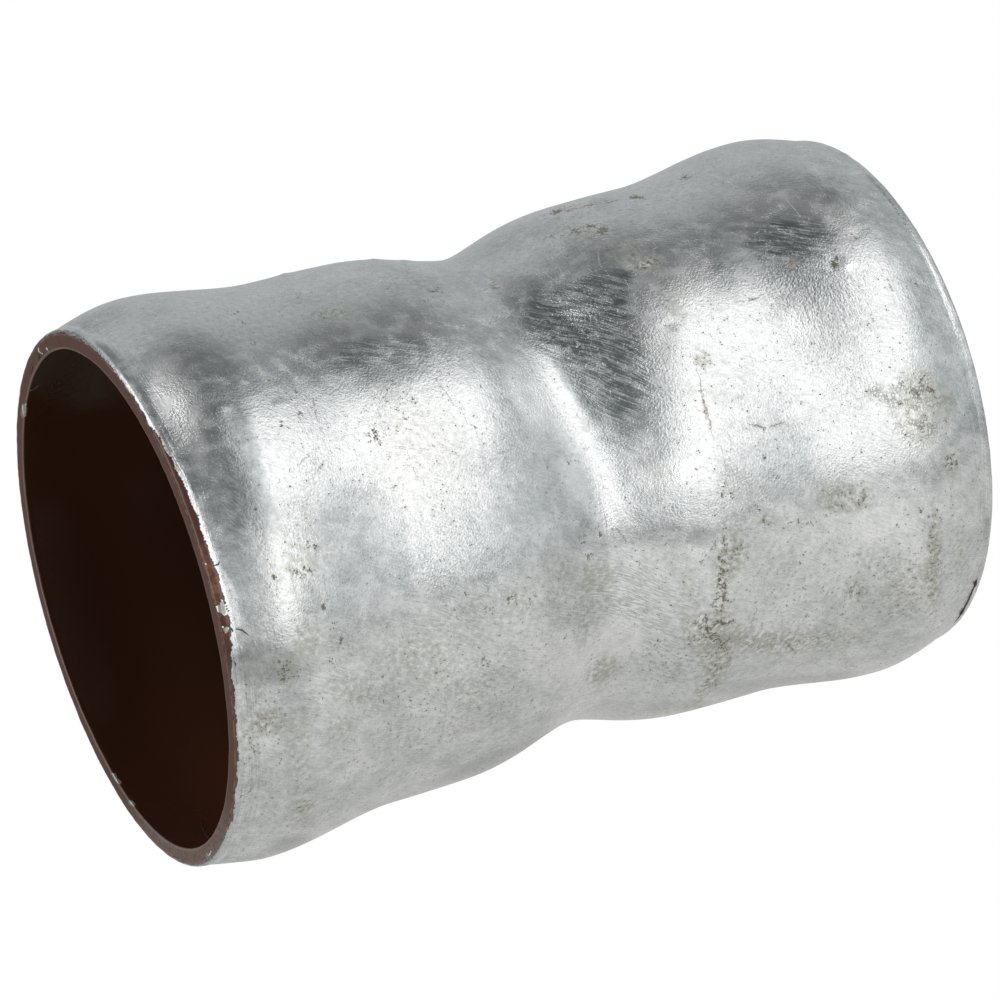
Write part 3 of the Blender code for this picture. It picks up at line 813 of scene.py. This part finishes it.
# painted shade darkens the zinc and painted highlight lightens it, from the listed patches; on chips it is the bare
# zinc's own grey
zinc = n.mix(n.mul(n.m("MAXIMUM", a_painted_light, 0.0), n.m("MULTIPLY_ADD", fleck, 0.5, 0.5)), zinc, (0.22, 0.235, 0.24, 1))
zinc = n.mix(n.mul(n.m("MAXIMUM", n.m("MULTIPLY", a_painted_light, -1.0), 0.0), 0.7), zinc, (0.97, 0.97, 0.97, 1))
zinc = n.mix(n.mul(a_lift, n.step(0.46, 0.66, brush), 0.45), zinc, (0.84, 0.85, 0.85, 1))
zinc = n.mix(n.mul(n.m("MINIMUM", n.sum(n.mul(a_smear, n.step(0.24, 0.66, n.sum(n.mul(mottle, 0.45), fleck)), 1.5),
                                        n.mul(film, 0.65), n.mul(bubbly, 0.35)), 1.0), 0.75),
             zinc, (0.33, 0.33, 0.275, 1))
zinc = n.mix(n.mul(n.m("MINIMUM", a_tan, 1.0), n.step(0.44, 0.60, fleck), 0.60), zinc, (0.42, 0.35, 0.26, 1))
zinc = n.mix(n.m("MINIMUM", n.sum(n.mul(speck, 0.82), n.mul(dark_line, 0.75), n.mul(ring, 0.5), n.mul(crackle, 0.6)), 0.92),
             zinc, (0.10, 0.092, 0.068, 1))
zinc = n.mix(n.mul(light_line, 0.8), zinc, (0.95, 0.96, 0.96, 1))
# painted highlight along the upper lip: near-white zinc, less metallic and rougher
painted_lip_highlight = n.mul(a_lip_highlight, n.step(0.30, 0.55, n.sum(n.mul(crumb, 0.6), n.mul(fleck, 0.4))))
zinc = n.mix(n.mul(painted_lip_highlight, 0.9), zinc, (0.985, 0.985, 0.99, 1))
# the coat is dark and mauve on the cut rim; where it was slopped over the edge it is thin and orange-brown
over = n.mul(n.step(0.02, 0.16, a_slop), n.m("MINIMUM", n.mul(a_spilt, 1.7), 1.0))
paint = n.mix(over, n.mix(n.step(0.35, 0.65, brush), (0.082, 0.036, 0.026, 1), (0.105, 0.048, 0.037, 1)),
              n.mix(n.mul(n.step(0.42, 0.70, n.sum(n.mul(fleck, 0.35), n.mul(mottle, 0.15), n.mul(cloud, 0.5), 0.40)), n.step(0.55, 0.95, a_spilt)),
                    (0.066, 0.020, 0.011, 1), (0.20, 0.085, 0.042, 1)))
# a painted highlight: a paler line along the flat rim's outer edge
paint = n.mix(n.mul(n.step(0.16, 0.05, n.m("ABSOLUTE", n.m("SUBTRACT", a_slop, 0.02))), n.step(0.40, 0.60, fleck), 0.5),
              paint, (0.34, 0.24, 0.17, 1))
# paler where the knocked rim is dusty, and where painted sheen lies inside the mouth
paint = n.mix(n.mul(a_dust_and_sheen, n.step(0.30, 0.62, n.sum(n.mul(fleck, 0.6), n.mul(crumb, 0.4))), 0.55), paint, (0.24, 0.205, 0.175, 1))
paint = n.mix(n.mul(n.step(0.12, 0.03, coat_edge), 0.8), paint, (0.030, 0.012, 0.008, 1))
# a painted highlight: a paler line along the rim's inner rounding
paint = n.mix(n.mul(n.step(0.16, 0.06, n.m("ABSOLUTE", n.sum(a_slop, 1.62))), 0.45), paint, (0.27, 0.20, 0.17, 1))
# inside, the coat is painted paler near the top of the mouth: painted sheen
paint = n.mix(n.step(-1.7, -2.2, a_slop), paint, n.mix(n.mul(a_dust_and_sheen, n.step(-0.1, 0.75, n.sum(fleck, n.mul(cloud, 0.8)))),
                                                       (0.054, 0.020, 0.011, 1), (0.066, 0.050, 0.036, 1)))
n.put(b.inputs["Base Color"], n.mix(coated, zinc, paint))

bare = n.m("SUBTRACT", 1.0, coated)
soil = n.m("MINIMUM", n.sum(speck, dark_line, ring, n.mul(a_smear, 0.35), n.mul(film, 0.3)), 1.0)
n.put(b.inputs["Metallic"], n.mul(bare, n.lerp(soil, 0.93, 0.25), n.m("MULTIPLY_ADD", painted_lip_highlight, -0.55, 1.0)))
rough = n.sum(0.25, n.mul(cloud, 0.16), n.mul(mottle, 0.12), n.mul(a_lift, 0.05), n.mul(soil, 0.25), n.mul(scr, -0.06), n.mul(painted_lip_highlight, 0.12))
inside = n.step(-1.7, -2.2, a_slop)
n.put(b.inputs["Roughness"], n.lerp(coated, rough, n.lerp(inside, n.lerp(over, 0.36, 0.18), 0.16)))
b.inputs["Specular IOR Level"].default_value = 0.5

# relief, in mm
relief = n.sum(
    n.mul(brush, n.m("MULTIPLY_ADD", scr, -0.004, 0.006)),
    n.mul(hatch, n.mul(scr, 0.014)),
    n.mul(lathe, n.mul(rings, 0.012)),
    n.mul(cut, -0.008),
    n.mul(crumb, 0.024),
    n.mul(fleck, 0.018),
    n.mul(speck, -0.018), n.mul(near_line, -0.010), n.mul(ring, -0.02))
relief = n.mul(relief, n.m("MULTIPLY_ADD", n.m("MINIMUM", a_calm, 1.0), -0.75, 1.0))
relief = n.lerp(coated, relief, n.sum(0.06, n.mul(grain, 0.008), n.mul(mottle, 0.03), n.mul(fleck, n.mul(over, 0.03))))
bump = n.add("ShaderNodeBump")
bump.inputs["Strength"].default_value = 1.0
bump.inputs["Distance"].default_value = MM
n.put(bump.inputs["Height"], relief)
n.put(b.inputs["Normal"], bump.outputs[0])
mesh.materials.append(metal)

# deep inside the bore there is only the coat
bore, n, b = principled("coat_inside")
p = n.add("ShaderNodeUVMap", uv_map="unrolled").outputs[0]
fleck = n.noise(p, 0.70, 2.5, 0.62)
# paler near the mouth, where painted sheen lies
n.put(b.inputs["Base Color"], n.mix(n.mul(n.attr("dust_and_painted_sheen"), n.step(-0.1, 0.75, n.sum(fleck, n.mul(n.attr("cloud"), 0.8)))),
                                    (0.054, 0.020, 0.011, 1), (0.066, 0.050, 0.036, 1)))
b.inputs["Roughness"].default_value = 0.16
b.inputs["Specular IOR Level"].default_value = 0.42
bump = n.add("ShaderNodeBump")
bump.inputs["Strength"].default_value = 1.0
bump.inputs["Distance"].default_value = MM
n.put(bump.inputs["Height"], n.mul(n.attr("mottle"), 0.03))
n.put(b.inputs["Normal"], bump.outputs[0])
mesh.materials.append(bore)
deep = (kind == 2) & (zz > 2.0) & (zz < 98.3)
mesh.polygons.foreach_set("material_index", np.logical_and.reduceat(deep[corners], first).astype(np.int32))

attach(body, "root")
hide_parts("coupling_body")

# ---------------------------------------------------------------------- burrs
# Slivers of zinc and threads of dried paint stand along the cut rim. Each is a short thin strand on
# the surface: places in the picture, thickness and the height of its middle in mm.
PALE = ((((38.3, 347.3), (39.5, 351.5), (42.8, 354.0)), .085, .06), (((46.2, 350.2), (47.6, 347.8), (48.4, 351.4)), .08, .08),
        (((30.3, 390.6), (34.6, 388.2), (38.6, 385.4)), .07, .05), (((206, 852.5), (209, 855.5), (211.5, 851)), .10, .07),
        (((205.4, 563), (206.6, 565)), .09, .05),
        (((222, 626), (224, 628)), .12, .05), (((22.5, 404), (23.5, 411), (24.5, 417)), .09, .05))
DARK = ((((977.5, 577.5), (975.8, 583), (972.6, 590), (970.2, 596), (966.8, 603), (963.4, 610), (960.0, 616), (954.5, 622.4)), .10, .04),
        (((976.6, 580), (975.2, 583.5), (975.0, 587)), .15, .10), (((964.5, 607), (962, 611.5), (959.5, 616)), .14, .10),
        (((37.0, 353.5), (39.5, 357.0), (38.0, 361.0)), .15, .05), (((33.0, 366), (32, 371), (30.4, 375)), .10, .04),
        (((213.8, 565.4), (217.9, 564.6), (220.1, 561.4)), .085, .16), (((231, 627.5), (233, 632)), .09, .08),
        (((235.7, 628.8), (242, 630), (249, 635.5)), .085, .16), (((234.5, 661.5), (236, 666)), .08, .06),
        (((201.6, 821), (201, 826), (204, 832.5), (208, 838)), .07, .1), (((206, 831), (206.8, 834)), .06, .05))
surface = BVHTree.FromPolygons([tuple(v) for v in pos], faces)


def strands(name, marks):
    pts, polys = [], []
    for places, thick, high in marks:
        x = np.interp(np.linspace(0, len(places) - 1, 9), range(len(places)), [q[0] for q in places])
        y = np.interp(np.linspace(0, len(places) - 1, 9), range(len(places)), [q[1] for q in places])
        hits = [surface.ray_cast(EYE / MM, sight(u, v)) for u, v in zip(x, y)]
        if any(h[0] is None for h in hits):
            raise ValueError(f"{name}: a strand leaves the surface")
        t = np.linspace(0, math.pi, 9)
        line = [h[0] + h[1] * high * math.sin(a) for h, a in zip(hits, t)]
        first = len(pts)
        for i, (c, a) in enumerate(zip(line, t)):
            ahead = (line[min(i + 1, 8)] - line[max(i - 1, 0)]).normalized()
            side = ahead.cross(hits[i][1]).normalized()
            up = side.cross(ahead)
            r = thick * (0.35 + 0.65 * math.sin(a))
            for k in range(6):
                b_ = math.pi * k / 3
                pts.append(tuple((c + side * (r * math.cos(b_)) + up * (r * math.sin(b_))) * MM))
        for i in range(8):
            for k in range(6):
                p0, p1 = first + 6 * i + k, first + 6 * i + (k + 1) % 6
                polys.append((p0, p0 + 6, p1 + 6, p1))
        polys += [tuple(first + k for k in range(6)), tuple(first + 48 + k for k in range(5, -1, -1))]
    m = bpy.data.meshes.new(name)
    m.from_pydata(pts, [], polys)
    m.validate()
    m.shade_smooth()
    ob = bpy.data.objects.new(name, m)
    bpy.context.scene.collection.objects.link(ob)
    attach(ob, "root")
    return ob


for name, marks, colour, metallic, rough_ in (("zinc_slivers", PALE, (0.82, 0.82, 0.80, 1), 0.8, 0.3),
                                              ("paint_threads", DARK, (0.055, 0.030, 0.022, 1), 0.0, 0.3)):
    ob = strands(name, marks)
    mat, n, b = principled(name)
    b.inputs["Base Color"].default_value = colour
    b.inputs["Metallic"].default_value = metallic
    b.inputs["Roughness"].default_value = rough_
    ob.data.materials.append(mat)

# --------------------------------------------------------------- floor, light
bpy.ops.mesh.primitive_plane_add(size=30.0, location=(0, 0, 0))
floor = bpy.context.object
floor.name = "floor"
floor.visible_shadow = False
floor.visible_glossy = False
fm, n, b = principled("floor_paper")
b.inputs["Base Color"].default_value = (0, 0, 0, 1)
b.inputs["Roughness"].default_value = 0.9
b.inputs["Specular IOR Level"].default_value = 0.0
b.inputs["Emission Color"].default_value = (1, 1, 1, 1)
b.inputs["Emission Strength"].default_value = 1.0
floor.data.materials.append(fm)

world = bpy.data.worlds.new("studio")
world.use_nodes = True
bpy.context.scene.world = world
n = Nodes(world.node_tree)
way = n.add("ShaderNodeTexCoord").outputs["Generated"]
x, y, t = (n.v("DOT_PRODUCT", way, tuple(a)) for a in (RIGHT, UP, BACK))
az = n.m("DEGREES", n.m("ARCTAN2", x, t))
el = n.m("DEGREES", n.m("ARCSINE", y))


def ramp(x, *stops):
    """A value that eases from one (place, value) stop to the next."""
    out = stops[0][1]
    for (a, _), (c, v) in zip(stops[:-1], stops[1:]):
        out = n.lerp(n.step(a, c, x), out, v)
    return out


# the room above the table: pale to the sides, a dim gap above the camera, a dim ceiling
room = ramp(az, (58, .88), (72, .78), (84, .66), (110, .54))
gap = ramp(el, (-24, .62), (0, .52), (20, .37), (34, .24), (62, .11))
room = n.lerp(ramp(az, (10, 0.0), (26, 1.0)), gap, room)
room = n.lerp(ramp(az, (-34, 1.0), (-20, 0.0)), room, .56)
room = n.lerp(ramp(el, (58, 0.0), (80, 1.0)), room, .14)
# far to the left, along the bore, the room is dark
room = n.lerp(n.mul(ramp(az, (-168, 0.0), (-150, 1.0), (-112, 1.0), (-94, 0.0)), ramp(el, (-50, 0.0), (-35, 1.0), (30, 1.0), (45, 0.0))),
              room, .16)
# two softboxes on the right, one on the left, and a reflector strip
lower_right = n.sum(az, n.mul(el, -0.75), 22.0)
box_a = n.mul(ramp(az, (17, 0.0), (30, 1.0), (76, 1.0), (90, 0.0)), ramp(el, (22, 0.0), (32, 1.0), (54, 1.0), (72, 0.0)),
              ramp(lower_right, (54, 1.0), (70, 0.0)))
box_b = n.mul(ramp(az, (18, 0.0), (25, 1.0), (40, 1.0), (54, 0.0)), ramp(el, (-28, 0.0), (-19, 1.0), (24, 1.0), (30, 0.0)))
box_c = n.mul(ramp(az, (-94, 0.0), (-86, 1.0), (-58, 1.0), (-46, 0.0)), ramp(el, (-38, 0.0), (-28, 1.0), (48, 1.0), (61, 0.0)))
lean = n.sum(el, n.mul(az, 0.5), -42.0)
strip = n.mul(ramp(lean, (-8, 0.0), (-1, 1.0), (2, 1.0), (7, 0.0)), ramp(az, (-60, 0.0), (-52, 1.0), (-36, 1.0), (-22, 0.0)),
              ramp(el, (66, 1.0), (70, 0.0)))
light = n.sum(room, n.mul(box_a, 1.05), n.mul(box_b, 1.10), n.mul(strip, 1.9), n.mul(box_c, 1.6))
# the table: its far edge, dim for a little above it, pale and slightly warm below
rise = n.sum(ramp(az, (26, -31.0), (60, -21.5)), n.mul(ramp(az, (58, 0.0), (84, 1.0)), 13.0))
over = n.m("SUBTRACT", el, rise)
light = n.mul(light, n.m("SUBTRACT", 1.0, n.mul(ramp(over, (-3, 0.0), (1, 1.0), (5, 1.0), (13, 0.0)),
                                                ramp(az, (84, .45), (100, .1)))))
table = ramp(az, (20, .84), (34, .93), (64, .90), (96, .67))
table = n.mul(table, ramp(az, (8, .70), (30, 1.0)))
table = n.lerp(ramp(el, (-72, 1.0), (-56, 0.0)), table, .68)
ground = n.step(1.5, -2.0, over)
light = n.lerp(ground, light, table)
back = n.add("ShaderNodeBackground")
n.put(back.inputs["Strength"], light)
lamp = n.step(0.85, 1.2, light)
n.put(back.inputs["Color"], n.mix(ground, n.mix(lamp, (0.965, 1.0, 1.005, 1), (1.012, 0.998, 0.995, 1)), (1.01, 1.0, 0.975, 1)))
n.t.links.new(back.outputs[0], n.add("ShaderNodeOutputWorld").inputs["Surface"])

# --------------------------------------------------------------------- camera
cam = bpy.data.objects.new("camera", bpy.data.cameras.new("camera"))
bpy.context.scene.collection.objects.link(cam)
cam.data.sensor_fit = "HORIZONTAL"
cam.data.sensor_width = SENSOR
cam.data.lens = LENS
cam.data.clip_start, cam.data.clip_end = 0.01, 100.0
cam.matrix_world = Matrix.Translation(EYE) @ Matrix((RIGHT, UP, BACK)).transposed().to_4x4()
bpy.context.scene.camera = cam
bpy.context.scene.view_settings.view_transform = "Standard"
